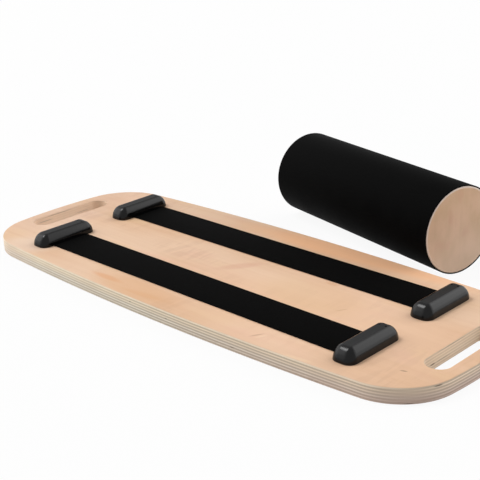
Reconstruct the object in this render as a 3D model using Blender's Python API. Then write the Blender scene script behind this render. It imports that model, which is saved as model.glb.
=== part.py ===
"""Balance board set: a plywood deck lying underside up, and the loose roller it rocks on.

X runs along the deck, Y across it, Z up. The origin is the middle of the deck's standing face,
which lies on the floor. Units are metres.
"""

import math

import bmesh
import bpy
from mathutils import Matrix

# Clearance between pieces that touch
GAP = 0.0003

# Deck: a barrel-shaped plywood panel
DECK_LENGTH = 0.700
DECK_WIDTH = 0.274
DECK_THICKNESS = 0.018
DECK_SIDE_RADIUS = 3.85
DECK_END_RADIUS = 0.665
DECK_CORNER_RADIUS = 0.0704
DECK_EDGE_ROUND = 0.0015

# Hand slots, one across each end of the deck
SLOT_LENGTH = 0.120
SLOT_WIDTH = 0.028
SLOT_TO_DECK_END = 0.017
SLOT_EDGE_ROUND = 0.001

# Stoppers: moulded blocks across the ends of the roller's track. Their walls lean in a little and
# then curve over to a flat top, each on a quarter of an ellipse: reach inwards, and drop
STOPPER_LENGTH = 0.085
STOPPER_WIDTH = 0.0284
STOPPER_HEIGHT = 0.0156
STOPPER_CORNER_RADIUS = 0.0106
STOPPER_DRAFT = math.radians(4.5)
STOPPER_SIDE_ROUND_REACH = 0.009
STOPPER_SIDE_ROUND_DROP = 0.0093
STOPPER_END_ROUND_REACH = 0.0122
STOPPER_END_ROUND_DROP = 0.0156
STOPPER_TO_DECK_END = 0.1031
STOPPER_SPREAD = 0.1306
# All four stand this far from an even spacing about the middle line
STOPPER_SHIFT = -0.0024

# Grip strips: they run from stopper to stopper, with bare wood between them
STRIP_WIDTH = 0.0535
STRIP_THICKNESS = 0.001
STRIP_EDGE_ROUND = 0.0003
BARE_TRACK_WIDTH = 0.0818

# Countersunk M5 screws, two in each stopper, and the threaded inserts that they turn into
SCREW_DIAMETER = 0.005
SCREW_HEAD_DIAMETER = 0.010
SCREW_HEAD_LAND = 0.0004
SCREW_HEAD_RECESS = 0.0005
SCREW_TIP_CHAMFER = 0.0006
SCREW_BITE = 0.0072
SCREW_PITCH = 0.044
DRIVE_SIDES = 6
DRIVE_WIDTH = 0.003
DRIVE_DEPTH = 0.0019
INSERT_DIAMETER = 0.0075
INSERT_LENGTH = 0.009
INSERT_CHAMFER = 0.0005

# Roller: a tube with a stepped wooden cap in each end, all in a thin rubber sleeve
ROLLER_DIAMETER = 0.110
ROLLER_LENGTH = 0.297
SLEEVE_THICKNESS = 0.001
SLEEVE_END_ROUND = 0.0004
TUBE_WALL = 0.004
CAP_FLANGE = 0.012
CAP_SPIGOT = 0.014
CAP_EDGE_ROUND = 0.0015

# Where the roller lies behind the deck, and how far it is turned from the deck's length
ROLLER_X = 0.0428
ROLLER_TURN = math.radians(-12.93)
ROLLER_TO_DECK = 0.0035

# Facets: steps on each arc of an outline, and sides of the round pieces
SIDE_STEPS = 10
END_STEPS = 6
CORNER_STEPS = 12
HALF_TURN_STEPS = 12
ROUND_STEPS = 3
STOPPER_CORNER_STEPS = 8
STOPPER_WALL_STEPS = 2
STOPPER_ROUND_STEPS = 8
ROLLER_SIDES = 64
TUBE_SIDES = 48
SCREW_SIDES = 16

# How far cutters run past the faces that they open
OVERRUN = 0.005

# Sharp edges are those that turn by more than this
SHARP_ANGLE = math.radians(35)

# Colours as linear RGB
BEECH = (0.80, 0.58, 0.42)
END_WOOD = (0.50, 0.34, 0.22)
BLACK_RUBBER = (0.040, 0.040, 0.042)
BLACK_GRIP = (0.008, 0.008, 0.008)
BLACK_SLEEVE = (0.012, 0.012, 0.012)
GREY_TUBE = (0.30, 0.31, 0.32)
ZINC_STEEL = (0.55, 0.56, 0.58)
BRASS = (0.70, 0.50, 0.22)


def clear_scene():
    for thing in list(bpy.data.objects):
        bpy.data.objects.remove(thing, do_unlink=True)


def material(name, colour, roughness, metallic=0.0):
    """A plain Principled material."""
    made = bpy.data.materials.new(name)
    made.use_nodes = True
    shader = made.node_tree.nodes["Principled BSDF"]
    shader.inputs["Base Color"].default_value = (*colour, 1.0)
    shader.inputs["Roughness"].default_value = roughness
    shader.inputs["Metallic"].default_value = metallic
    return made


def new_object(name, bm, look):
    """Turn a bmesh into a smooth-shaded object in the scene."""
    bmesh.ops.recalc_face_normals(bm, faces=bm.faces)
    mesh = bpy.data.meshes.new(name)
    bm.to_mesh(mesh)
    bm.free()
    mesh.shade_smooth()
    mesh.set_sharp_from_angle(angle=SHARP_ANGLE)
    mesh.materials.append(look)
    made = bpy.data.objects.new(name, mesh)
    bpy.context.collection.objects.link(made)
    return made


def arc(centre, radius, start, end, steps):
    """Points along an arc, ends included."""
    turn = (end - start) / steps
    angles = [start + turn * i for i in range(steps + 1)]
    return [(centre[0] + radius * math.cos(a), centre[1] + radius * math.sin(a)) for a in angles]


def barrel_outline(inset):
    """The deck's outline, drawn in by inset: wide arcs on sides and ends, joined by corner arcs."""
    side_centre = (0.0, DECK_WIDTH / 2 - DECK_SIDE_RADIUS)
    end_centre = (DECK_LENGTH / 2 - DECK_END_RADIUS, 0.0)
    # The corner arc touches both wide arcs from inside, so its centre is where two circles cross
    to_side = DECK_SIDE_RADIUS - DECK_CORNER_RADIUS
    to_end = DECK_END_RADIUS - DECK_CORNER_RADIUS
    dx = end_centre[0] - side_centre[0]
    dy = end_centre[1] - side_centre[1]
    apart = math.hypot(dx, dy)
    along = (to_side ** 2 - to_end ** 2 + apart ** 2) / (2 * apart)
    across = math.sqrt(to_side ** 2 - along ** 2)
    corner = (side_centre[0] + (along * dx + across * dy) / apart,
              side_centre[1] + (along * dy - across * dx) / apart)
    side_turn = math.atan2(corner[1] - side_centre[1], corner[0] - side_centre[0])
    end_turn = math.atan2(corner[1] - end_centre[1], corner[0] - end_centre[0])
    quarter = arc(end_centre, DECK_END_RADIUS - inset, 0.0, end_turn, END_STEPS)
    quarter += arc(corner, DECK_CORNER_RADIUS - inset, end_turn, side_turn, CORNER_STEPS)[1:]
    quarter += arc(side_centre, DECK_SIDE_RADIUS - inset, side_turn, math.pi / 2, SIDE_STEPS)[1:]
    upper = quarter + [(-x, y) for x, y in reversed(quarter[:-1])]
    lower = [(-x, -y) for x, y in upper[1:-1]]
    return upper + lower


def deck_edge_y(x):
    """How far from the middle line the deck's long side is at x."""
    return DECK_WIDTH / 2 - DECK_SIDE_RADIUS + math.sqrt(DECK_SIDE_RADIUS ** 2 - x ** 2)


def stadium(half_length, half_width):
    """A stadium outline with its long way along Y."""
    reach = half_length - half_width
    far_end = arc((0.0, reach), half_width, 0.0, math.pi, HALF_TURN_STEPS)
    near_end = arc((0.0, -reach), half_width, math.pi, 2 * math.pi, HALF_TURN_STEPS)
    return far_end + near_end


def rounded_box(half_length, half_width, radius):
    """A rounded rectangle with its long way along Y."""
    outline = []
    for index, (x_side, y_side) in enumerate(((1, 1), (-1, 1), (-1, -1), (1, -1))):
        centre = (x_side * (half_width - radius), y_side * (half_length - radius))
        start = index * math.pi / 2
        outline += arc(centre, radius, start, start + math.pi / 2, STOPPER_CORNER_STEPS)
    return outline


def circle(radius, sides):
    return arc((0.0, 0.0), radius, 0.0, 2 * math.pi, sides)[:-1]


def add_stack(bm, layers):
    """Add a closed body through outlines of equal length, given as (outline, z) from one end."""
    rings = [[bm.verts.new((x, y, z)) for x, y in outline] for outline, z in layers]
    count = len(rings[0])
    for low, high in zip(rings, rings[1:]):
        for i in range(count):
            j = (i + 1) % count
            bm.faces.new((low[i], low[j], high[j], high[i]))
    bm.faces.new(rings[0])
    bm.faces.new(rings[-1])


def add_turned(bm, profile, sides):
    """Add a body turned about Z from a closed profile of (radius, z); radius 0 is a pole."""
    rings = []
    for radius, z in profile:
        if radius == 0:
            rings.append([bm.verts.new((0.0, 0.0, z))] * sides)
        else:
            rings.append([bm.verts.new((x, y, z)) for x, y in circle(radius, sides)])
    closed = profile[0][0] > 0
    pairs = list(zip(rings, rings[1:])) + ([(rings[-1], rings[0])] if closed else [])
    for low, high in pairs:
        for i in range(sides):
            j = (i + 1) % sides
            corners = dict.fromkeys((low[i], low[j], high[j], high[i]))
            bm.faces.new(tuple(corners))


def quarter_round(radius, steps):
    """(inset, depth) pairs of a rounded edge, from the face down to the wall."""
    angles = [math.pi / 2 * i / steps for i in range(steps + 1)]
    return [(radius * (1 - math.sin(a)), radius * (1 - math.cos(a))) for a in angles]


def cut(target, cutter):
    """Take the cutter out of the target with a Boolean modifier and hide the cutter."""
    step = target.modifiers.new(cutter.name, "BOOLEAN")
    step.operation = "DIFFERENCE"
    step.object = cutter
    cutter.hide_render = True
    cutter.display_type = "WIRE"


def slot_x():
    return DECK_LENGTH / 2 - SLOT_TO_DECK_END - SLOT_WIDTH / 2


def stopper_x():
    return DECK_LENGTH / 2 - STOPPER_TO_DECK_END


def stopper_y(side):
    return side * STOPPER_SPREAD / 2 + STOPPER_SHIFT


def screw_offsets(side):
    """Where a stopper's screws are, measured from its middle: towards the middle line, and away."""
    return {"inner": -side * SCREW_PITCH / 2, "outer": side * SCREW_PITCH / 2}


def screw_profile():
    """A screw's profile from its head up."""
    head = SCREW_HEAD_DIAMETER / 2
    shank = SCREW_DIAMETER / 2
    land_end = SCREW_HEAD_RECESS + SCREW_HEAD_LAND
    tip = DECK_THICKNESS + GAP + SCREW_BITE
    return [(0.0, SCREW_HEAD_RECESS), (head, SCREW_HEAD_RECESS), (head, land_end),
            (shank, land_end + head - shank), (shank, tip - SCREW_TIP_CHAMFER),
            (shank - SCREW_TIP_CHAMFER, tip), (0.0, tip)]


def screw_hole_profile():
    """The profile of a screw's hole through the deck, a gap wider than the screw all round."""
    head = SCREW_HEAD_DIAMETER / 2 + GAP
    shank = SCREW_DIAMETER / 2 + GAP
    land_end = SCREW_HEAD_RECESS + SCREW_HEAD_LAND
    return [(0.0, -OVERRUN), (head, -OVERRUN), (head, land_end),
            (shank, land_end + head - shank), (shank, DECK_THICKNESS + OVERRUN),
            (0.0, DECK_THICKNESS + OVERRUN)]


def shift(bm, start, x, y):
    """Move the vertices added since the count start."""
    bm.verts.ensure_lookup_table()
    bmesh.ops.translate(bm, verts=bm.verts[start:], vec=(x, y, 0.0))


def make_slot_cutter(side):
    """The hand slot as a solid, flared where the deck's faces round into it."""
    rounding = quarter_round(SLOT_EDGE_ROUND, ROUND_STEPS)
    levels = [(SLOT_EDGE_ROUND, -OVERRUN)] + rounding
    levels += [(out, DECK_THICKNESS - depth) for out, depth in reversed(rounding)]
    levels += [(SLOT_EDGE_ROUND, DECK_THICKNESS + OVERRUN)]
    layers = [(stadium(SLOT_LENGTH / 2 + out, SLOT_WIDTH / 2 + out), z) for out, z in levels]
    bm = bmesh.new()
    add_stack(bm, layers)
    cutter = new_object("slot_cutter", bm, None)
    cutter.location.x = side * slot_x()
    return cutter


def make_screw_hole_cutter():
    """All the countersunk holes in the deck as one cutter."""
    bm = bmesh.new()
    for x in (-stopper_x(), stopper_x()):
        for side in (-1, 1):
            for offset in screw_offsets(side).values():
                start = len(bm.verts)
                add_turned(bm, screw_hole_profile(), SCREW_SIDES)
                shift(bm, start, x, stopper_y(side) + offset)
    return new_object("screw_hole_cutter", bm, None)


def make_deck(look):
    rounding = quarter_round(DECK_EDGE_ROUND, ROUND_STEPS)
    layers = [(barrel_outline(inset), depth) for inset, depth in rounding]
    layers += [(barrel_outline(inset), DECK_THICKNESS - depth) for inset, depth in reversed(rounding)]
    bm = bmesh.new()
    add_stack(bm, layers)
    deck = new_object("deck", bm, look)
    cut(deck, make_slot_cutter(-1))
    cut(deck, make_slot_cutter(1))
    cut(deck, make_screw_hole_cutter())
    return deck


def wall_inset(z, reach, drop):
    """How far a stopper's wall has drawn in at height z: its draft, then its elliptic round."""
    into_round = max(z - (STOPPER_HEIGHT - drop), 0.0) / drop
    curve = reach * (1 - math.sqrt(max(1 - into_round ** 2, 0.0)))
    return z * math.tan(STOPPER_DRAFT) + curve


def stopper_levels():
    """Heights of a stopper's outlines: evenly up its wall, then along its side round."""
    wall_top = STOPPER_HEIGHT - STOPPER_SIDE_ROUND_DROP
    wall = [wall_top * i / STOPPER_WALL_STEPS for i in range(STOPPER_WALL_STEPS)]
    turn = math.pi / 2 / STOPPER_ROUND_STEPS
    climbs = [math.sin(turn * i) for i in range(STOPPER_ROUND_STEPS + 1)]
    return wall + [wall_top + STOPPER_SIDE_ROUND_DROP * climb for climb in climbs]


def stopper_body(bm):
    layers = []
    for z in stopper_levels():
        end_inset = wall_inset(z, STOPPER_END_ROUND_REACH, STOPPER_END_ROUND_DROP)
        side_inset = wall_inset(z, STOPPER_SIDE_ROUND_REACH, STOPPER_SIDE_ROUND_DROP)
        outline = rounded_box(STOPPER_LENGTH / 2 - end_inset, STOPPER_WIDTH / 2 - side_inset,
                              STOPPER_CORNER_RADIUS - side_inset)
        layers.append((outline, z))
    add_stack(bm, layers)


def make_insert_pocket_cutter(stopper):
    """The two blind pockets under a stopper."""
    radius = INSERT_DIAMETER / 2 + GAP
    depth = INSERT_LENGTH + GAP
    profile = [(0.0, -OVERRUN), (radius, -OVERRUN), (radius, depth), (0.0, depth)]
    bm = bmesh.new()
    for offset in screw_offsets(1).values():
        start = len(bm.verts)
        add_turned(bm, profile, SCREW_SIDES)
        shift(bm, start, 0.0, offset)
    cutter = new_object("pocket_cutter", bm, None)
    cutter.parent = stopper
    return cutter


def make_stopper(name, x, y, look):
    bm = bmesh.new()
    stopper_body(bm)
    stopper = new_object(name, bm, look)
    stopper.location = (x, y, DECK_THICKNESS + GAP)
    cut(stopper, make_insert_pocket_cutter(stopper))
    return stopper


def make_insert(name, x, y, look):
    """A threaded insert, flush with its stopper's foot."""
    outer = INSERT_DIAMETER / 2
    inner = SCREW_DIAMETER / 2 + GAP
    profile = [(inner, 0.0), (outer, 0.0), (outer, INSERT_LENGTH - INSERT_CHAMFER),
               (outer - INSERT_CHAMFER, INSERT_LENGTH), (inner, INSERT_LENGTH)]
    bm = bmesh.new()
    add_turned(bm, profile, SCREW_SIDES)
    insert = new_object(name, bm, look)
    insert.location = (x, y, DECK_THICKNESS + GAP)
    return insert


def make_drive_cutter(screw):
    """The hexagon socket in a screw's head."""
    hexagon = circle(DRIVE_WIDTH / 2 / math.cos(math.pi / DRIVE_SIDES), DRIVE_SIDES)
    bm = bmesh.new()
    add_stack(bm, [(hexagon, -OVERRUN), (hexagon, SCREW_HEAD_RECESS + DRIVE_DEPTH)])
    cutter = new_object("drive_cutter", bm, None)
    cutter.parent = screw
    return cutter


def make_screw(name, x, y, look):
    """A countersunk screw, its head at the standing face and its tip in a stopper's insert."""
    bm = bmesh.new()
    add_turned(bm, screw_profile(), SCREW_SIDES)
    screw = new_object(name, bm, look)
    screw.location = (x, y, 0.0)
    cut(screw, make_drive_cutter(screw))
    return screw


def make_strip(name, side, look):
    """A grip strip between the stoppers' inner sides."""
    half_length = stopper_x() - STOPPER_WIDTH / 2 - GAP
    bm = bmesh.new()
    bmesh.ops.create_cube(bm, size=1.0)
    bmesh.ops.scale(bm, verts=bm.verts, vec=(2 * half_length, STRIP_WIDTH, STRIP_THICKNESS))
    bmesh.ops.bevel(bm, geom=bm.edges[:], offset=STRIP_EDGE_ROUND, segments=1, affect="EDGES")
    strip = new_object(name, bm, look)
    strip.location = (0.0, side * (BARE_TRACK_WIDTH + STRIP_WIDTH) / 2,
                      DECK_THICKNESS + GAP + STRIP_THICKNESS / 2)
    return strip


def make_roller_axis():
    """An empty on the roller's axis: its local Z runs along the axis, towards the near end."""
    half_length = ROLLER_LENGTH / 2
    radius = ROLLER_DIAMETER / 2
    turn = abs(ROLLER_TURN)
    corner_x = ROLLER_X + half_length * math.cos(turn) - radius * math.sin(turn)
    corner_reach = half_length * math.sin(turn) + radius * math.cos(turn)
    axis = bpy.data.objects.new("roller_axis", None)
    bpy.context.collection.objects.link(axis)
    axis.location = (ROLLER_X, deck_edge_y(corner_x) + ROLLER_TO_DECK + corner_reach, radius)
    axis.rotation_euler = (0.0, math.pi / 2, ROLLER_TURN)
    return axis


def make_sleeve(axis, look):
    outer = ROLLER_DIAMETER / 2
    inner = outer - SLEEVE_THICKNESS
    half = ROLLER_LENGTH / 2
    round_off = SLEEVE_END_ROUND
    profile = [(inner, -half), (outer - round_off, -half), (outer, -half + round_off),
               (outer, half - round_off), (outer - round_off, half), (inner, half)]
    bm = bmesh.new()
    add_turned(bm, profile, ROLLER_SIDES)
    sleeve = new_object("roller_sleeve", bm, look)
    sleeve.parent = axis
    return sleeve


def core_radius():
    """Outer radius of the tube and of the caps' flanges, inside the sleeve."""
    return ROLLER_DIAMETER / 2 - SLEEVE_THICKNESS - GAP


def make_tube(axis, look):
    outer = core_radius()
    inner = outer - TUBE_WALL
    half = ROLLER_LENGTH / 2 - CAP_FLANGE - GAP
    bm = bmesh.new()
    add_turned(bm, [(inner, -half), (outer, -half), (outer, half), (inner, half)], TUBE_SIDES)
    tube = new_object("roller_tube", bm, look)
    tube.parent = axis
    return tube


def make_cap(name, axis, side, look):
    """A wooden end cap: a flange as wide as the tube, and a spigot that plugs into it."""
    flange = core_radius()
    spigot = flange - TUBE_WALL - GAP
    half = ROLLER_LENGTH / 2
    shoulder = half - CAP_FLANGE
    profile = [(0.0, shoulder - CAP_SPIGOT), (spigot, shoulder - CAP_SPIGOT), (spigot, shoulder),
               (flange, shoulder)]
    rounding = reversed(quarter_round(CAP_EDGE_ROUND, ROUND_STEPS))
    profile += [(flange - inset, half - depth) for inset, depth in rounding]
    profile += [(0.0, half)]
    bm = bmesh.new()
    add_turned(bm, profile, ROLLER_SIDES)
    if side < 0:
        bmesh.ops.transform(bm, matrix=Matrix.Rotation(math.pi, 4, "X"), verts=bm.verts)
    cap = new_object(name, bm, look)
    cap.parent = axis
    return cap


def main():
    clear_scene()
    rubber = material("stopper_rubber", BLACK_RUBBER, 0.45)
    steel = material("screw_steel", ZINC_STEEL, 0.35, 1.0)
    brass = material("insert_brass", BRASS, 0.35, 1.0)
    grip = material("grip_rubber", BLACK_GRIP, 0.90)
    cap_wood = material("cap_wood", END_WOOD, 0.60)
    make_deck(material("deck_plywood", BEECH, 0.50))
    for side, across in ((-1, "near"), (1, "far")):
        make_strip("grip_strip_" + across, side, grip)
        for end, along in ((-1, "left"), (1, "right")):
            stopper = along + "_" + across
            x = end * stopper_x()
            y = stopper_y(side)
            make_stopper("stopper_" + stopper, x, y, rubber)
            for half, offset in screw_offsets(side).items():
                spot = stopper + "_" + half
                make_insert("insert_" + spot, x, y + offset, brass)
                make_screw("screw_" + spot, x, y + offset, steel)
    axis = make_roller_axis()
    make_sleeve(axis, material("sleeve_rubber", BLACK_SLEEVE, 0.70))
    make_tube(axis, material("tube_plastic", GREY_TUBE, 0.50))
    make_cap("roller_cap_left", axis, -1, cap_wood)
    make_cap("roller_cap_right", axis, 1, cap_wood)


main()
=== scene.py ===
import math

import bmesh
import bpy
from mathutils import Matrix, Vector


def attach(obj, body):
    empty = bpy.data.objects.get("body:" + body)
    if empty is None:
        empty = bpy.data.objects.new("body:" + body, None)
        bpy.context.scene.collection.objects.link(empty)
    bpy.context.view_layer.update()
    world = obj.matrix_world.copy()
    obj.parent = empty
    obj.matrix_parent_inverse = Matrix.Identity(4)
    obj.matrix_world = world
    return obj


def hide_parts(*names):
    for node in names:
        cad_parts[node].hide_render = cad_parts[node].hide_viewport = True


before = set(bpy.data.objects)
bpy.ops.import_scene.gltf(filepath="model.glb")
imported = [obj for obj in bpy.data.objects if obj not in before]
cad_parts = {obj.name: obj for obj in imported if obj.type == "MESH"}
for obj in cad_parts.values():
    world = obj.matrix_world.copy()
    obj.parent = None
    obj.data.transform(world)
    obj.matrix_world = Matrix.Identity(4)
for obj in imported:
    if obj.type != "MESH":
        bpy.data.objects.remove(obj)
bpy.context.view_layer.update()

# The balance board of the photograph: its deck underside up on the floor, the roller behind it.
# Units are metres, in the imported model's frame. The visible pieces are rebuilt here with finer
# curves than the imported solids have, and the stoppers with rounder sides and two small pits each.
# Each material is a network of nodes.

# Clearance between neighbouring parts
GAP = 0.0003

# Deck
DECK_LENGTH = 0.700
DECK_WIDTH = 0.274
DECK_THICKNESS = 0.018
DECK_SIDE_RADIUS = 3.85
DECK_END_RADIUS = 0.665
DECK_CORNER_RADIUS = 0.0704
DECK_EDGE_ROUND = 0.0015
PLY_COUNT = 11
SLOT_LENGTH = 0.120
SLOT_WIDTH = 0.028
SLOT_X = 0.319
SLOT_EDGE_ROUND = 0.001

# How far the tone of a slot's wall, with the right slot's painted light, reaches from the slot's
# middle, and where it has faded out
SLOT_TONE_X = 0.0155
SLOT_TONE_Y = 0.062
SLOT_TONE_FADE_Y = 0.066

# Stoppers
STOPPER_LENGTH = 0.085
STOPPER_WIDTH = 0.0284
STOPPER_HEIGHT = 0.0156
STOPPER_CORNER_RADIUS = 0.0106
STOPPER_DRAFT = math.radians(4.5)
STOPPER_SIDE_REACH = 0.009
STOPPER_SIDE_DROP = 0.0125
STOPPER_END_REACH = 0.0122
STOPPER_END_DROP = 0.0156
STOPPER_X = 0.2469
STOPPER_SPREAD = 0.1306
STOPPER_SHIFT = -0.0024
PIT_X = 0.0040
PIT_Y = 0.0270
PIT_RADIUS = 0.0011
PIT_DEPTH = 0.0011
PIT_OVERSHOOT = 0.002

# Grip strips
STRIP_WIDTH = 0.0535
STRIP_THICKNESS = 0.001
STRIP_EDGE_ROUND = 0.0003
STRIP_Y = 0.06765

# Screws and inserts
SCREW_DIAMETER = 0.005
SCREW_HEAD_DIAMETER = 0.010
SCREW_HEAD_LAND = 0.0004
SCREW_HEAD_RECESS = 0.0005
SCREW_OFFSET = 0.022
INSERT_RADIUS = 0.00375
INSERT_LENGTH = 0.009

# Roller
ROLLER_DIAMETER = 0.110
ROLLER_LENGTH = 0.297
SLEEVE_THICKNESS = 0.001
SLEEVE_END_ROUND = 0.0004
CORE_RADIUS = 0.0537
CAP_FLANGE = 0.012
CAP_SPIGOT = 0.014
SPIGOT_RADIUS = 0.0494
CAP_EDGE_ROUND = 0.0015
# Radii at which the painted highlight round each disc's rounded edge begins and is full
CAP_HIGHLIGHT_START = 0.0508
CAP_HIGHLIGHT_FULL = 0.0524
ROLLER_PLACE = Vector((0.0428, 0.223344, 0.055))
ROLLER_TURN = math.radians(-12.93)

# Meshes: how far a cutter passes the faces it cuts, the angle past which an edge stays sharp, and
# the facets round each turned body
OVERSHOOT = 0.005
SHARP_ANGLE = math.radians(35.0)
HOLE_SIDES = 40
POCKET_SIDES = 32
PIT_SIDES = 24
ROLLER_SIDES = 256

# Floor and world: the floor's own grey, the share of plain white over it, and the world's level
FLOOR_HALF = 30.0
FLOOR_Z = -0.0003
FLOOR_GREY = 0.85
FLOOR_WHITE_SHARE = 0.92
WORLD_LEVEL = 0.25

# Soft elliptical lamps that face the origin: name, direction, width, height, power, and the way
# that the width runs
LAMP_DISTANCE = 12.0
LAMPS = (
    ("key", (-0.47, -0.25, 0.85), 4.6, 4.2, 580.0, (0.60, 0.73, 0.36)),
    ("front_wide", (-0.74, -0.47, 0.48), 19.2, 14.0, 416.0, (0.54, -0.84, 0.0)),
    ("front_middle", (-0.76, -0.42, 0.48), 10.0, 8.0, 240.0, (0.54, -0.84, 0.0)),
    ("back_wide", (0.44, 0.70, 0.44), 20.0, 15.2, 968.0, (0.69, -0.06, -0.64)),
    ("back_middle", (0.40, 0.70, 0.50), 10.4, 5.6, 152.0, (0.69, -0.06, -0.64)),
)

# Camera, as fitted to the photograph: azimuth from the front towards +X
CAMERA_TARGET = Vector((-0.094137, 0.103681, 0.0))
CAMERA_DISTANCE = 1.418883
CAMERA_AZIMUTH = math.radians(44.651)
CAMERA_ELEVATION = math.radians(21.073)
CAMERA_ROLL = math.radians(-2.119)
CAMERA_LENS = 80.502
CAMERA_SENSOR = 36.0


# Mesh helpers

def arc(centre, radius, start, end, steps):
    turn = (end - start) / steps
    angles = [start + turn * i for i in range(steps + 1)]
    return [(centre[0] + radius * math.cos(a), centre[1] + radius * math.sin(a)) for a in angles]


def barrel_outline(inset):
    """The deck's outline, drawn in by inset: wide arcs on sides and ends, joined by corner arcs."""
    side_centre = (0.0, DECK_WIDTH / 2 - DECK_SIDE_RADIUS)
    end_centre = (DECK_LENGTH / 2 - DECK_END_RADIUS, 0.0)
    to_side = DECK_SIDE_RADIUS - DECK_CORNER_RADIUS
    to_end = DECK_END_RADIUS - DECK_CORNER_RADIUS
    dx = end_centre[0] - side_centre[0]
    dy = end_centre[1] - side_centre[1]
    apart = math.hypot(dx, dy)
    along = (to_side ** 2 - to_end ** 2 + apart ** 2) / (2 * apart)
    across = math.sqrt(to_side ** 2 - along ** 2)
    corner = (side_centre[0] + (along * dx + across * dy) / apart,
              side_centre[1] + (along * dy - across * dx) / apart)
    side_turn = math.atan2(corner[1] - side_centre[1], corner[0] - side_centre[0])
    end_turn = math.atan2(corner[1] - end_centre[1], corner[0] - end_centre[0])
    quarter = arc(end_centre, DECK_END_RADIUS - inset, 0.0, end_turn, 12)
    quarter += arc(corner, DECK_CORNER_RADIUS - inset, end_turn, side_turn, 32)[1:]
    quarter += arc(side_centre, DECK_SIDE_RADIUS - inset, side_turn, math.pi / 2, 40)[1:]
    upper = quarter + [(-x, y) for x, y in reversed(quarter[:-1])]
    lower = [(-x, -y) for x, y in upper[1:-1]]
    return upper + lower


def stadium(half_length, half_width):
    reach = half_length - half_width
    far_end = arc((0.0, reach), half_width, 0.0, math.pi, 32)
    near_end = arc((0.0, -reach), half_width, math.pi, 2 * math.pi, 32)
    return far_end + near_end


def rounded_box(half_length, half_width, radius, steps):
    outline = []
    for index, (x_side, y_side) in enumerate(((1, 1), (-1, 1), (-1, -1), (1, -1))):
        centre = (x_side * (half_width - radius), y_side * (half_length - radius))
        start = index * math.pi / 2
        outline += arc(centre, radius, start, start + math.pi / 2, steps)
    return outline


def circle(radius, sides):
    return arc((0.0, 0.0), radius, 0.0, 2 * math.pi, sides)[:-1]


def quarter_round(radius, steps):
    """Points round an edge as (inset, depth), from the flat face to the wall."""
    angles = [math.pi / 2 * i / steps for i in range(steps + 1)]
    return [(radius * (1 - math.sin(a)), radius * (1 - math.cos(a))) for a in angles]


def add_stack(bm, layers):
    """A closed body through outlines of equal length, given as (outline, z) from one end."""
    rings = [[bm.verts.new((x, y, z)) for x, y in outline] for outline, z in layers]
    count = len(rings[0])
    for low, high in zip(rings, rings[1:]):
        for i in range(count):
            j = (i + 1) % count
            bm.faces.new((low[i], low[j], high[j], high[i]))
    bm.faces.new(rings[0])
    bm.faces.new(rings[-1])


def add_turned(bm, profile, sides):
    """A body turned about Z from a closed profile of (radius, z); radius 0 is a pole."""
    rings = []
    for radius, z in profile:
        if radius == 0:
            rings.append([bm.verts.new((0.0, 0.0, z))] * sides)
        else:
            rings.append([bm.verts.new((x, y, z)) for x, y in circle(radius, sides)])
    closed = profile[0][0] > 0
    pairs = list(zip(rings, rings[1:])) + ([(rings[-1], rings[0])] if closed else [])
    for low, high in pairs:
        for i in range(sides):
            j = (i + 1) % sides
            bm.faces.new(tuple(dict.fromkeys((low[i], low[j], high[j], high[i]))))


def add_turned_at(bm, profile, sides, place):
    """The same, moved to a place."""
    start = len(bm.verts)
    add_turned(bm, profile, sides)
    bm.verts.ensure_lookup_table()
    bmesh.ops.translate(bm, verts=bm.verts[start:], vec=place)


def shade(mesh):
    mesh.shade_smooth()
    mesh.set_sharp_from_angle(angle=SHARP_ANGLE)


def new_object(name, bm, look):
    bmesh.ops.recalc_face_normals(bm, faces=bm.faces)
    mesh = bpy.data.meshes.new(name)
    bm.to_mesh(mesh)
    bm.free()
    shade(mesh)
    if look:
        mesh.materials.append(look)
    made = bpy.data.objects.new(name, mesh)
    bpy.context.scene.collection.objects.link(made)
    return made


def carve(target, cutters, look):
    """Cut the cutters out of the target and leave one plain mesh."""
    for cutter in cutters:
        step = target.modifiers.new(cutter.name, "BOOLEAN")
        step.operation = "DIFFERENCE"
        step.solver = "EXACT"
        step.object = cutter
    bpy.context.view_layer.update()
    graph = bpy.context.evaluated_depsgraph_get()
    mesh = bpy.data.meshes.new_from_object(target.evaluated_get(graph))
    target.modifiers.clear()
    target.data = mesh
    mesh.name = target.name
    shade(mesh)
    mesh.materials.clear()
    mesh.materials.append(look)
    for cutter in cutters:
        bpy.data.objects.remove(cutter, do_unlink=True)


# Node helpers

def linear(r, g, b):
    """A colour written in sRGB steps of 255, as the linear values that nodes take."""
    def one(step):
        c = step / 255
        return c / 12.92 if c <= 0.04045 else ((c + 0.055) / 1.055) ** 2.4
    return (one(r), one(g), one(b), 1.0)


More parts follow.
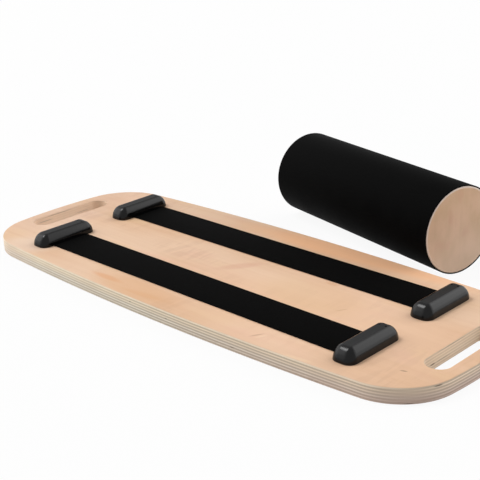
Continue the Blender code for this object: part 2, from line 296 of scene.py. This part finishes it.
class Graph:
    """A node tree being built: each call adds a node and returns the output it is used for."""

    def __init__(self, tree):
        self.tree = tree
        tree.nodes.clear()

    def add(self, kind, inputs=None, output=0, **settings):
        made = self.tree.nodes.new("ShaderNode" + kind)
        for name, value in settings.items():
            setattr(made, name, value)
        for key, value in (inputs or {}).items():
            if isinstance(value, bpy.types.NodeSocket):
                self.tree.links.new(value, made.inputs[key])
            else:
                made.inputs[key].default_value = value
        return made.outputs[output] if made.outputs else None

    def math(self, operation, *values):
        return self.add("Math", dict(enumerate(values)), operation=operation)

    def vector(self, operation, *values, output=0):
        return self.add("VectorMath", dict(enumerate(values)), output, operation=operation)

    def mix(self, factor, a, b):
        return self.add("Mix", {0: factor, 6: a, 7: b}, 2, data_type="RGBA")

    def blend(self, factor, a, b):
        return self.add("Mix", {0: factor, 2: a, 3: b}, 0, data_type="FLOAT")

    def span(self, value, low, high, out_low=0.0, out_high=1.0, smooth=False):
        kind = "SMOOTHSTEP" if smooth else "LINEAR"
        return self.add("MapRange", {0: value, 1: low, 2: high, 3: out_low, 4: out_high},
                        interpolation_type=kind, clamp=True)

    def noise(self, vector, detail=2.0, roughness=0.5, distortion=0.0):
        return self.add("TexNoise", {"Vector": vector, "Scale": 1.0, "Detail": detail,
                                     "Roughness": roughness, "Distortion": distortion})

    def stretched(self, place, x, y, z):
        return self.vector("MULTIPLY", place, (x, y, z))

    def bump(self, height, strength, distance):
        return self.add("Bump", {"Height": height, "Strength": strength, "Distance": distance})

    def place(self):
        return self.add("TexCoord", output="Object")

    def parts(self, vector):
        made = self.tree.nodes.new("ShaderNodeSeparateXYZ")
        self.tree.links.new(vector, made.inputs[0])
        return made.outputs[0], made.outputs[1], made.outputs[2]

    def sees_white(self):
        """1 for the rays that see the white background: camera, glossy and transmission rays."""
        path = self.tree.nodes.new("ShaderNodeLightPath")
        mirrored = self.math("MAXIMUM", path.outputs["Is Glossy Ray"],
                             path.outputs["Is Transmission Ray"])
        return self.math("MAXIMUM", path.outputs["Is Camera Ray"], mirrored)

    def surface(self, inputs):
        shader = self.add("BsdfPrincipled", inputs)
        self.add("OutputMaterial", {"Surface": shader})


def new_look(name):
    made = bpy.data.materials.new(name)
    made.use_nodes = True
    return made, Graph(made.node_tree)


# Materials

# Figure in the deck's face that stands out in the photograph, and one patch of painted light:
# middle, half sizes, turn in degrees from +X, tone and strength
FACE_FIGURE_AND_LIGHT = (
    ((0.160, -0.035), (0.230, 0.140), 0, linear(248, 210, 181), 0.42),
    ((-0.001, 0.008), (0.040, 0.011), 55, linear(214, 160, 134), 0.40),
    ((-0.100, -0.116), (0.034, 0.007), 0, linear(224, 160, 116), 0.55),
    ((-0.030, -0.123), (0.040, 0.006), 4, linear(222, 166, 122), 0.35),
    ((0.208, -0.128), (0.026, 0.0035), 8, linear(240, 208, 176), 0.60),
    ((0.142, -0.1156), (0.011, 0.0018), 62, linear(188, 146, 118), 0.55),
    ((0.148, -0.1150), (0.011, 0.0018), 62, linear(242, 212, 184), 0.60),
    ((0.3034, -0.0822), (0.005, 0.0016), 20, linear(160, 122, 102), 0.75),
    ((0.118, 0.0358), (0.012, 0.004), 0, linear(214, 158, 116), 0.45),
    ((0.171, -0.012), (0.010, 0.0015), 60, linear(196, 152, 120), 0.45),
    # Partly the veneer's own orange tone, partly painted light: painted paler to make up for the
    # roller's shadow
    ((0.060, 0.120), (0.230, 0.026), 1, linear(250, 190, 143), 0.70),
    ((-0.165, 0.120), (0.200, 0.042), 0, linear(200, 168, 140), 0.34),
    ((0.120, -0.004), (0.095, 0.060), 0, linear(222, 182, 136), 0.34),
    ((-0.325, 0.020), (0.075, 0.140), 0, linear(200, 170, 158), 0.26),
    ((-0.050, -0.116), (0.095, 0.032), 0, linear(222, 172, 128), 0.55),
    ((-0.265, -0.112), (0.055, 0.034), 20, linear(240, 214, 194), 0.60),
)

# Knots and open joints in the deck's edge and slots: middle, half sizes along the edge and
# upwards, turn in degrees, strength
EDGE_VOIDS = (
    ((0.3427, -0.0814, 0.0160), (0.0070, 0.0010), 52, 0.80),
    ((0.3267, -0.1062, 0.0012), (0.0065, 0.0006), 38, 0.80),
    ((-0.0355, -0.1368, 0.0120), (0.0018, 0.0007), 0, 0.80),
    ((0.0245, -0.1369, 0.0090), (0.0034, 0.0006), 1, 0.80),
    ((0.1240, -0.1350, 0.0054), (0.0040, 0.0006), 2, 0.80),
    ((-0.2100, 0.1312, 0.0088), (0.0040, 0.0006), 3, 0.80),
    ((0.1500, 0.1341, 0.0125), (0.0028, 0.0006), -2, 0.80),
    ((-0.3330, -0.0120, 0.0168), (0.0340, 0.0007), 90, 0.42),
    ((-0.3330, -0.0340, 0.0118), (0.0180, 0.0008), 90, 0.42),
    ((-0.3330, 0.0300, 0.0085), (0.0180, 0.0006), 90, 0.42),
    ((0.3050, -0.0200, 0.0068), (0.0220, 0.0006), 90, 0.42),
    ((0.3050, -0.0360, 0.0070), (0.0055, 0.0012), 90, 0.75),
    ((0.3050, -0.0020, 0.0168), (0.0320, 0.0006), 90, 0.42),
)


def ellipse(g, place, middle, reach, turn):
    """1 inside an ellipse or ellipsoid about middle, fading to 0 at its reach."""
    local = g.add("Mapping", {"Vector": place, "Location": middle, "Scale": reach,
                              "Rotation": (0.0, 0.0, math.radians(turn))}, vector_type="TEXTURE")
    away = g.vector("LENGTH", local, output="Value")
    return g.span(away, 0.35, 1.0, 1.0, 0.0, smooth=True)


def wood_face(g, place, pale, deep):
    """Veneer with its grain along X: soft patches, streaks, a faint curl across it, fine pores."""
    warp = g.noise(g.stretched(place, 2.2, 9.0, 9.0), detail=3.0)
    bent = g.vector("ADD", place, g.add("CombineXYZ", {1: g.math("MULTIPLY", warp, 0.03)}))
    patches = g.noise(g.stretched(place, 5.0, 14.0, 14.0), roughness=0.45)
    tone = g.mix(g.span(patches, 0.32, 0.68, smooth=True), pale, deep)
    blush = g.noise(g.vector("ADD", g.stretched(place, 11.0, 24.0, 24.0), (7.0, 3.0, 0.0)))
    tone = g.mix(g.span(blush, 0.50, 0.72, 0.0, 0.45, smooth=True), tone, linear(230, 186, 160))
    golden = g.noise(g.vector("ADD", g.stretched(place, 9.0, 20.0, 20.0), (2.0, 9.0, 0.0)))
    tone = g.mix(g.span(golden, 0.52, 0.74, 0.0, 0.50, smooth=True), tone, linear(228, 192, 150))
    streaks = g.noise(g.stretched(bent, 4.0, 130.0, 130.0), detail=5.0, roughness=0.6)
    tone = g.mix(g.span(streaks, 0.40, 0.75, 0.0, 0.16), tone, linear(196, 142, 106))
    curl_field = g.noise(g.stretched(bent, 110.0, 22.0, 22.0), distortion=0.3)
    curl_where = g.span(g.noise(g.stretched(place, 9.0, 14.0, 14.0)), 0.46, 0.66, smooth=True)
    figured = ellipse(g, place, (-0.085, 0.0, DECK_THICKNESS), (0.075, 0.030, 0.02), 0)
    curl = g.math("MULTIPLY", g.span(curl_field, 0.46, 0.60, smooth=True),
                  g.math("MAXIMUM", curl_where, figured))
    tone = g.mix(g.math("MULTIPLY", curl, 0.22), tone, linear(198, 156, 128))
    pores = g.noise(g.stretched(place, 70.0, 1500.0, 1500.0))
    dashes = g.span(pores, 0.64, 0.72)
    tone = g.mix(g.math("MULTIPLY", dashes, 0.18), tone, linear(170, 118, 84))
    return tone, streaks, dashes


def ply_edge(g, place, nx, ny):
    """The plies' edges, outside and in the slots: one in two lies across, its end grain darker."""
    x, y, z = g.parts(place)
    waver = g.noise(g.stretched(place, 28.0, 28.0, 60.0))
    depth = g.math("MULTIPLY_ADD", waver, 0.0004, g.math("ADD", z, 0.00015))
    level = g.math("DIVIDE", depth, DECK_THICKNESS / PLY_COUNT)
    within = g.math("FRACT", level)
    number = g.math("FLOOR", level)
    crossing = g.math("MODULO", number, 2.0)
    along_x = g.math("MULTIPLY", nx, nx)
    level_part = g.math("ADD", along_x, g.math("MULTIPLY", ny, ny))
    facing_x = g.math("DIVIDE", along_x, g.math("ADD", level_part, 0.001))
    end_grain = g.math("ABSOLUTE", g.math("SUBTRACT", crossing, facing_x))
    off_middle = g.math("ABSOLUTE", g.math("SUBTRACT", within, 0.5))
    glue = g.span(off_middle, 0.38, 0.49, smooth=True)
    fibres = g.noise(g.stretched(place, 260.0, 260.0, 1400.0), detail=3.0, roughness=0.6)
    ends = g.noise(g.stretched(place, 1200.0, 1200.0, 2500.0), roughness=0.6)
    long_tone = g.mix(g.span(fibres, 0.35, 0.70), linear(255, 249, 236), linear(249, 239, 220))
    end_tone = g.mix(g.span(ends, 0.35, 0.70), linear(232, 221, 201), linear(214, 200, 177))
    edge = g.mix(end_grain, long_tone, end_tone)
    # Painted light: the upper plies are painted paler and warmer.
    edge = g.mix(g.span(z, 0.007, 0.012, 0.0, 0.44), edge, linear(255, 232, 196))
    # Painted shade: the end grain is painted darker still towards the right, the side turned from
    # the light.
    end_grain_right_shade = g.span(x, -0.25, 0.05, 0.0, 0.44)
    edge = g.mix(g.math("MULTIPLY", end_grain, end_grain_right_shade), edge, linear(150, 132, 112))
    edge = g.mix(g.math("MULTIPLY", glue, 0.26), edge, linear(176, 160, 138))
    edge_patches = g.noise(g.stretched(place, 22.0, 22.0, 22.0))
    edge = g.mix(g.span(edge_patches, 0.40, 0.70, 0.0, 0.15), edge, linear(196, 176, 154))
    odd = g.add("TexWhiteNoise", {"W": number}, noise_dimensions="1D")
    edge = g.mix(g.math("MULTIPLY", odd, 0.12), edge, linear(204, 180, 150))
    # Painted shade: the plies are painted darker towards the floor.
    lower = g.span(z, 0.0, 0.014, 0.30, 0.0)
    edge = g.mix(lower, edge, linear(190, 176, 162))

    from_slot = g.math("ABSOLUTE", g.math("SUBTRACT", g.math("ABSOLUTE", x), SLOT_X))
    between_ends = g.span(g.math("ABSOLUTE", y), SLOT_TONE_Y, SLOT_TONE_FADE_Y, 1.0, 0.0)
    in_slot = g.math("MULTIPLY", between_ends, g.math("LESS_THAN", from_slot, SLOT_TONE_X))
    right = g.span(x, 0.00, 0.33)
    # Partly a rosy tone of the edge, partly painted shade: it deepens towards the right and the
    # bottom, away from the light, and is kept out of the slots.
    rosy_shade = g.math("MULTIPLY", right, g.span(z, 0.003, 0.016, 0.40, 0.16))
    rosy_shade = g.math("MULTIPLY", g.math("SUBTRACT", 1.0, in_slot), rosy_shade)
    edge = g.mix(rosy_shade, edge, linear(203, 156, 146))
    # Painted light: the left end's edge is painted paler and pinker where the light falls on it.
    left_end_light = g.span(x, -0.34, -0.22, 0.40, 0.0)
    edge = g.mix(left_end_light, edge, linear(250, 214, 194))
    # The slots' walls take their own pinker tone; the right slot's wall is painted paler, as
    # painted light.
    slot_tone_and_light = g.mix(right, linear(240, 209, 183), linear(244, 222, 200))
    edge = g.mix(g.math("MULTIPLY", in_slot, 0.58), edge, slot_tone_and_light)
    for middle, reach, turn, strength in EDGE_VOIDS:
        where = ellipse(g, place, middle, (reach[0], 0.004, reach[1]), turn)
        edge = g.mix(g.math("MULTIPLY", where, strength), edge, linear(96, 78, 64))
    return edge, fibres, glue


def plywood_look():
    made, g = new_look("deck_plywood")
    place = g.place()
    nx, ny, nz = g.parts(g.add("TexCoord", output="Normal"))
    face, streaks, pores = wood_face(g, place, linear(234, 200, 171), linear(226, 186, 152))
    for middle, reach, turn, tint, strength in FACE_FIGURE_AND_LIGHT:
        where = ellipse(g, place, (*middle, DECK_THICKNESS), (*reach, 0.004), turn)
        face = g.mix(g.math("MULTIPLY", where, strength), face, tint)
    edge, fibres, glue = ply_edge(g, place, nx, ny)

    upright = g.span(g.math("ABSOLUTE", nz), 0.55, 0.93, 1.0, 0.0, smooth=True)
    tone = g.mix(upright, face, edge)
    relief = g.blend(upright, streaks, g.math("SUBTRACT", fibres, g.math("MULTIPLY", glue, 0.8)))
    sunk = g.math("MULTIPLY", pores, g.math("MULTIPLY_ADD", upright, -0.4, 0.4))
    relief = g.math("SUBTRACT", relief, sunk)
    rough = g.blend(upright, g.span(streaks, 0.3, 0.7, 0.46, 0.56), 0.75)
    g.surface({"Base Color": tone, "Roughness": rough, "Specular IOR Level": 0.12,
               "Normal": g.bump(relief, 0.25, 0.0002)})
    return made


def stopper_look():
    made, g = new_look("stopper_rubber")
    place = g.place()
    facing_up = g.parts(g.add("TexCoord", output="Normal"))[2]
    flat_top = g.span(facing_up, 0.965, 0.992, smooth=True)
    grain = g.noise(g.stretched(place, 1500.0, 1500.0, 1500.0), roughness=0.6)
    clouds = g.noise(g.stretched(place, 60.0, 60.0, 60.0), detail=3.0)
    tone = g.mix(g.span(clouds, 0.35, 0.70), linear(5, 5, 6), linear(10, 10, 11))
    moulded = g.span(clouds, 0.3, 0.7, 0.17, 0.22)
    rough = g.blend(flat_top, moulded, g.span(grain, 0.3, 0.7, 0.50, 0.64))
    relief = g.math("MULTIPLY", grain, g.math("MULTIPLY_ADD", flat_top, 0.8, 0.2))
    g.surface({"Base Color": tone, "Roughness": rough, "Specular IOR Level": 0.20,
               "Normal": g.bump(relief, 0.20, 0.0001)})
    return made


def grip_look():
    made, g = new_look("grip_rubber")
    place = g.place()
    grit = g.noise(g.stretched(place, 1500.0, 1500.0, 1500.0), detail=3.0, roughness=0.65)
    cells = g.add("TexVoronoi", {"Vector": place, "Scale": 900.0}, output="Distance")
    tone = g.mix(g.span(grit, 0.45, 0.80), linear(2, 2, 2), linear(10, 9, 8))
    g.surface({"Base Color": tone, "Roughness": 0.9, "Specular IOR Level": 0.03,
               "Normal": g.bump(g.math("ADD", grit, cells), 0.5, 0.0003)})
    return made


def sleeve_look():
    made, g = new_look("sleeve_rubber")
    place = g.place()
    grain = g.noise(g.stretched(place, 1300.0, 1300.0, 1300.0), detail=3.0, roughness=0.6)
    clouds = g.noise(g.stretched(place, 30.0, 30.0, 30.0), detail=3.0)
    tone = g.mix(g.span(clouds, 0.35, 0.70), linear(3, 3, 3), linear(8, 8, 8))
    g.surface({"Base Color": tone, "Roughness": g.span(clouds, 0.3, 0.7, 0.64, 0.74),
               "Specular IOR Level": 0.02, "Normal": g.bump(grain, 0.15, 0.0002)})
    return made


def cap_look(end):
    """A wooden end disc, toned by height as in the photograph: painted light makes its lower part
    paler, and a painted highlight runs round its rounded edge.
    """
    made, g = new_look("cap_wood_" + end)
    place = g.place()
    patches = g.span(g.noise(g.stretched(place, 40.0, 40.0, 26.0)), 0.32, 0.68, smooth=True)
    tone = g.mix(patches, linear(229, 193, 166), linear(217, 183, 152))
    blush = g.noise(g.vector("ADD", g.stretched(place, 55.0, 55.0, 40.0), (5.0, 0.0, 2.0)))
    tone = g.mix(g.span(blush, 0.50, 0.74, 0.0, 0.5, smooth=True), tone, linear(216, 168, 146))
    streaks = g.noise(g.stretched(place, 260.0, 260.0, 16.0),
                      detail=4.0, roughness=0.6, distortion=0.2)
    tone = g.mix(g.span(streaks, 0.40, 0.75, 0.0, 0.06), tone, linear(176, 136, 104))
    pores = g.noise(g.stretched(place, 1300.0, 1300.0, 120.0))
    tone = g.mix(g.span(pores, 0.62, 0.72, 0.0, 0.10), tone, linear(150, 114, 88))
    height = g.parts(place)[2]
    # Painted light: the disc is painted paler towards the bottom; towards the top it turns more
    # golden.
    tone = g.mix(g.span(height, 0.010, 0.062, 0.50, 0.0), tone, linear(239, 213, 190))
    tone = g.mix(g.span(height, 0.060, 0.100, 0.0, 0.35), tone, linear(224, 184, 142))
    # Painted highlight: a pale band round the disc's rounded edge, strongest at the top and faint
    # at the bottom, as the light falls.
    axis = (math.cos(ROLLER_TURN), math.sin(ROLLER_TURN), 0.0)
    out = g.vector("CROSS_PRODUCT", g.vector("SUBTRACT", place, ROLLER_PLACE), axis)
    radius = g.vector("LENGTH", out, output="Value")
    rim_highlight = g.span(radius, CAP_HIGHLIGHT_START, CAP_HIGHLIGHT_FULL, 0.0, 0.80, smooth=True)
    rim_highlight = g.math("MULTIPLY", rim_highlight, g.span(height, 0.016, 0.040, 0.15, 1.0))
    tone = g.mix(rim_highlight, tone, linear(255, 238, 226))
    g.surface({"Base Color": tone, "Roughness": g.span(streaks, 0.3, 0.7, 0.60, 0.72),
               "Specular IOR Level": 0.12, "Normal": g.bump(streaks, 0.25, 0.0002)})
    return made


def metal_look(name, bright, dull, roughness):
    made, g = new_look(name)
    place = g.place()
    turned = g.noise(g.stretched(place, 900.0, 900.0, 5000.0))
    clouds = g.noise(g.stretched(place, 300.0, 300.0, 300.0), detail=3.0)
    tone = g.mix(g.span(clouds, 0.35, 0.70), bright, dull)
    rough = g.span(turned, 0.3, 0.7, roughness - 0.08, roughness + 0.08)
    g.surface({"Base Color": tone, "Metallic": 1.0, "Roughness": rough,
               "Normal": g.bump(turned, 0.15, 0.00005)})
    return made


def tube_look():
    made, g = new_look("tube_plastic")
    place = g.place()
    drawn = g.noise(g.stretched(place, 12.0, 500.0, 500.0), detail=3.0)
    tone = g.mix(g.span(drawn, 0.35, 0.70), linear(150, 152, 154), linear(138, 140, 142))
    g.surface({"Base Color": tone, "Roughness": g.span(drawn, 0.3, 0.7, 0.40, 0.52),
               "Normal": g.bump(drawn, 0.10, 0.0001)})
    return made


# Pieces

def stand_for(piece, node, body):
    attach(piece, body)
    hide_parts(node)


def stopper_y(side):
    return side * STOPPER_SPREAD / 2 + STOPPER_SHIFT


def make_deck(look):
    rounding = quarter_round(DECK_EDGE_ROUND, 6)
    layers = [(barrel_outline(inset), depth) for inset, depth in rounding]
    layers += [(barrel_outline(inset), DECK_THICKNESS - depth)
               for inset, depth in reversed(rounding)]
    bm = bmesh.new()
    add_stack(bm, layers)
    deck = new_object("deck_panel", bm, look)

    cutters = []
    rounding = quarter_round(SLOT_EDGE_ROUND, 5)
    levels = [(SLOT_EDGE_ROUND, -OVERSHOOT)] + rounding
    levels += [(out, DECK_THICKNESS - depth) for out, depth in reversed(rounding)]
    levels += [(SLOT_EDGE_ROUND, DECK_THICKNESS + OVERSHOOT)]
    layers = [(stadium(SLOT_LENGTH / 2 + out, SLOT_WIDTH / 2 + out), z) for out, z in levels]
    for side in (-1, 1):
        bm = bmesh.new()
        add_stack(bm, layers)
        cutter = new_object("slot_cutter", bm, None)
        cutter.location.x = side * SLOT_X
        cutters.append(cutter)

    head = SCREW_HEAD_DIAMETER / 2 + GAP
    shank = SCREW_DIAMETER / 2 + GAP
    land = SCREW_HEAD_RECESS + SCREW_HEAD_LAND
    top = DECK_THICKNESS + OVERSHOOT
    profile = [(0.0, -OVERSHOOT), (head, -OVERSHOOT), (head, land), (shank, land + head - shank),
               (shank, top), (0.0, top)]
    bm = bmesh.new()
    for x in (-STOPPER_X, STOPPER_X):
        for side in (-1, 1):
            for offset in (-SCREW_OFFSET, SCREW_OFFSET):
                add_turned_at(bm, profile, HOLE_SIDES, (x, stopper_y(side) + offset, 0.0))
    cutters.append(new_object("hole_cutter", bm, None))
    carve(deck, cutters, look)
    stand_for(deck, "deck", "board")


def wall_inset(z, reach, drop):
    """How far a stopper's wall has drawn in at height z: its draft, then a quarter ellipse."""
    into_round = max(z - (STOPPER_HEIGHT - drop), 0.0) / drop
    curve = reach * (1 - math.sqrt(max(1 - into_round ** 2, 0.0)))
    return z * math.tan(STOPPER_DRAFT) + curve


def make_stopper(name, x, y, look):
    wall_top = STOPPER_HEIGHT - STOPPER_SIDE_DROP
    levels = [wall_top * i / 6 for i in range(6)]
    levels += [wall_top + STOPPER_SIDE_DROP * math.sin(math.pi / 2 * i / 24) for i in range(25)]
    bm = bmesh.new()
    layers = []
    for z in levels:
        end_inset = wall_inset(z, STOPPER_END_REACH, STOPPER_END_DROP)
        side_inset = wall_inset(z, STOPPER_SIDE_REACH, STOPPER_SIDE_DROP)
        outline = rounded_box(STOPPER_LENGTH / 2 - end_inset, STOPPER_WIDTH / 2 - side_inset,
                              STOPPER_CORNER_RADIUS - side_inset, 16)
        layers.append((outline, z))
    add_stack(bm, layers)
    piece = new_object(name + "_body", bm, look)

    radius = INSERT_RADIUS + GAP
    end = INSERT_LENGTH + GAP
    pocket = [(0.0, -OVERSHOOT), (radius, -OVERSHOOT), (radius, end), (0.0, end)]
    bottom = STOPPER_HEIGHT - PIT_DEPTH
    top = STOPPER_HEIGHT + PIT_OVERSHOOT
    pit = [(0.0, bottom), (PIT_RADIUS, bottom), (PIT_RADIUS, top), (0.0, top)]
    bm = bmesh.new()
    for offset in (-SCREW_OFFSET, SCREW_OFFSET):
        add_turned_at(bm, pocket, POCKET_SIDES, (0.0, offset, 0.0))
    for offset in (-PIT_X, PIT_X):
        add_turned_at(bm, pit, PIT_SIDES, (offset, PIT_Y, 0.0))
    carve(piece, [new_object("pocket_cutter", bm, None)], look)
    piece.data.transform(Matrix.Translation((x, y, DECK_THICKNESS + GAP)))
    stand_for(piece, name, "board")


def make_strip(name, side, look):
    half_length = STOPPER_X - STOPPER_WIDTH / 2 - GAP
    bm = bmesh.new()
    bmesh.ops.create_cube(bm, size=1.0)
    bmesh.ops.scale(bm, verts=bm.verts, vec=(2 * half_length, STRIP_WIDTH, STRIP_THICKNESS))
    bmesh.ops.bevel(bm, geom=bm.edges[:], offset=STRIP_EDGE_ROUND, segments=4, profile=0.5,
                    affect="EDGES")
    middle_z = DECK_THICKNESS + GAP + STRIP_THICKNESS / 2
    bmesh.ops.translate(bm, verts=bm.verts, vec=(0.0, side * STRIP_Y, middle_z))
    piece = new_object(name + "_tape", bm, look)
    stand_for(piece, name, "board")


def roller_matrix():
    """From a body turned about Z at the origin to the roller's place, +Z to its right end."""
    return (Matrix.Translation(ROLLER_PLACE) @ Matrix.Rotation(ROLLER_TURN, 4, "Z")
            @ Matrix.Rotation(math.pi / 2, 4, "Y"))


def make_sleeve(look):
    outer = ROLLER_DIAMETER / 2
    inner = outer - SLEEVE_THICKNESS
    half = ROLLER_LENGTH / 2
    rounding = quarter_round(SLEEVE_END_ROUND, 4)
    near = [(outer - inset, half - depth) for inset, depth in reversed(rounding)]
    profile = [(inner, -half)] + [(r, -z) for r, z in reversed(near)] + near + [(inner, half)]
    bm = bmesh.new()
    add_turned(bm, profile, ROLLER_SIDES)
    bmesh.ops.transform(bm, matrix=roller_matrix(), verts=bm.verts)
    piece = new_object("roller_sleeve_skin", bm, look)
    stand_for(piece, "roller_sleeve", "roller")


def make_cap(name, side, look):
    half = ROLLER_LENGTH / 2
    shoulder = half - CAP_FLANGE
    profile = [(0.0, shoulder - CAP_SPIGOT), (SPIGOT_RADIUS, shoulder - CAP_SPIGOT),
               (SPIGOT_RADIUS, shoulder), (CORE_RADIUS, shoulder)]
    rounding = reversed(quarter_round(CAP_EDGE_ROUND, 6))
    profile += [(CORE_RADIUS - inset, half - depth) for inset, depth in rounding]
    profile += [(0.0, half)]
    bm = bmesh.new()
    add_turned(bm, profile, ROLLER_SIDES)
    if side < 0:
        bmesh.ops.transform(bm, matrix=Matrix.Rotation(math.pi, 4, "X"), verts=bm.verts)
    bmesh.ops.transform(bm, matrix=roller_matrix(), verts=bm.verts)
    piece = new_object(name + "_disc", bm, look)
    stand_for(piece, name, "roller")


# Build

plywood = plywood_look()
rubber = stopper_look()
grip = grip_look()
sleeve = sleeve_look()
steel = metal_look("screw_steel", linear(196, 198, 200), linear(176, 178, 182), 0.32)
brass = metal_look("insert_brass", linear(220, 188, 120), linear(196, 160, 94), 0.30)
tube = tube_look()

make_deck(plywood)
for side, across in ((-1, "near"), (1, "far")):
    make_strip("grip_strip_" + across, side, grip)
    for end, along in ((-1, "left"), (1, "right")):
        make_stopper("stopper_%s_%s" % (along, across), end * STOPPER_X, stopper_y(side), rubber)
make_sleeve(sleeve)
make_cap("roller_cap_left", -1, cap_look("left"))
make_cap("roller_cap_right", 1, cap_look("right"))

for name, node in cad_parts.items():
    for start, look in (("screw_", steel), ("insert_", brass), ("roller_tube", tube)):
        if name.startswith(start):
            node.data.materials.clear()
            node.data.materials.append(look)


# Stage, light, camera

def make_floor():
    """A pale floor that shows nearly plain white, keeps some shadow and is clear from below."""
    bm = bmesh.new()
    corners = ((-1, -1), (1, -1), (1, 1), (-1, 1))
    bm.faces.new([bm.verts.new((x * FLOOR_HALF, y * FLOOR_HALF, FLOOR_Z)) for x, y in corners])
    made, g = new_look("floor")
    share = g.math("MULTIPLY", g.sees_white(), FLOOR_WHITE_SHARE)
    matte = g.add("BsdfDiffuse", {"Color": (FLOOR_GREY, FLOOR_GREY, FLOOR_GREY, 1.0)})
    glow = g.add("Emission", {"Color": (1.0, 1.0, 1.0, 1.0), "Strength": 1.0})
    lit = g.add("MixShader", {0: share, 1: matte, 2: glow})
    under = g.add("NewGeometry", output="Backfacing")
    clear = g.add("BsdfTransparent")
    g.add("OutputMaterial", {"Surface": g.add("MixShader", {0: under, 1: lit, 2: clear})})
    floor = new_object("floor", bm, made)


def make_world():
    world = bpy.data.worlds.new("studio")
    world.use_nodes = True
    bpy.context.scene.world = world
    g = Graph(world.node_tree)
    dim = g.add("Background", {"Color": (1.0, 1.0, 1.0, 1.0), "Strength": WORLD_LEVEL})
    white = g.add("Background", {"Color": (1.0, 1.0, 1.0, 1.0), "Strength": 1.0})
    g.add("OutputWorld", {"Surface": g.add("MixShader", {0: g.sees_white(), 1: dim, 2: white})})


def make_lamp(name, towards, width, height, power, along):
    data = bpy.data.lights.new(name, "AREA")
    data.shape = "ELLIPSE"
    data.size = width
    data.size_y = height
    data.energy = power
    lamp = bpy.data.objects.new(name, data)
    bpy.context.scene.collection.objects.link(lamp)
    out = Vector(towards).normalized()
    side = (Vector(along) - Vector(along).dot(out) * out).normalized()
    turn = Matrix((side, out.cross(side), out)).transposed().to_4x4()
    lamp.matrix_world = Matrix.Translation(out * LAMP_DISTANCE) @ turn


def make_camera():
    level = math.cos(CAMERA_ELEVATION)
    back = Vector((math.sin(CAMERA_AZIMUTH) * level, -math.cos(CAMERA_AZIMUTH) * level,
                   math.sin(CAMERA_ELEVATION)))
    right = (-back).cross(Vector((0, 0, 1))).normalized()
    up = right.cross(-back)
    turned_right = right * math.cos(CAMERA_ROLL) + up * math.sin(CAMERA_ROLL)
    turned_up = up * math.cos(CAMERA_ROLL) - right * math.sin(CAMERA_ROLL)
    data = bpy.data.cameras.new("camera")
    data.sensor_width = CAMERA_SENSOR
    data.lens = CAMERA_LENS
    camera = bpy.data.objects.new("camera", data)
    bpy.context.scene.collection.objects.link(camera)
    turn = Matrix((turned_right, turned_up, back)).transposed().to_4x4()
    camera.matrix_world = Matrix.Translation(CAMERA_TARGET + back * CAMERA_DISTANCE) @ turn
    bpy.context.scene.camera = camera


make_floor()
make_world()
for lamp in LAMPS:
    make_lamp(*lamp)
make_camera()
bpy.context.scene.view_settings.view_transform = "Standard"
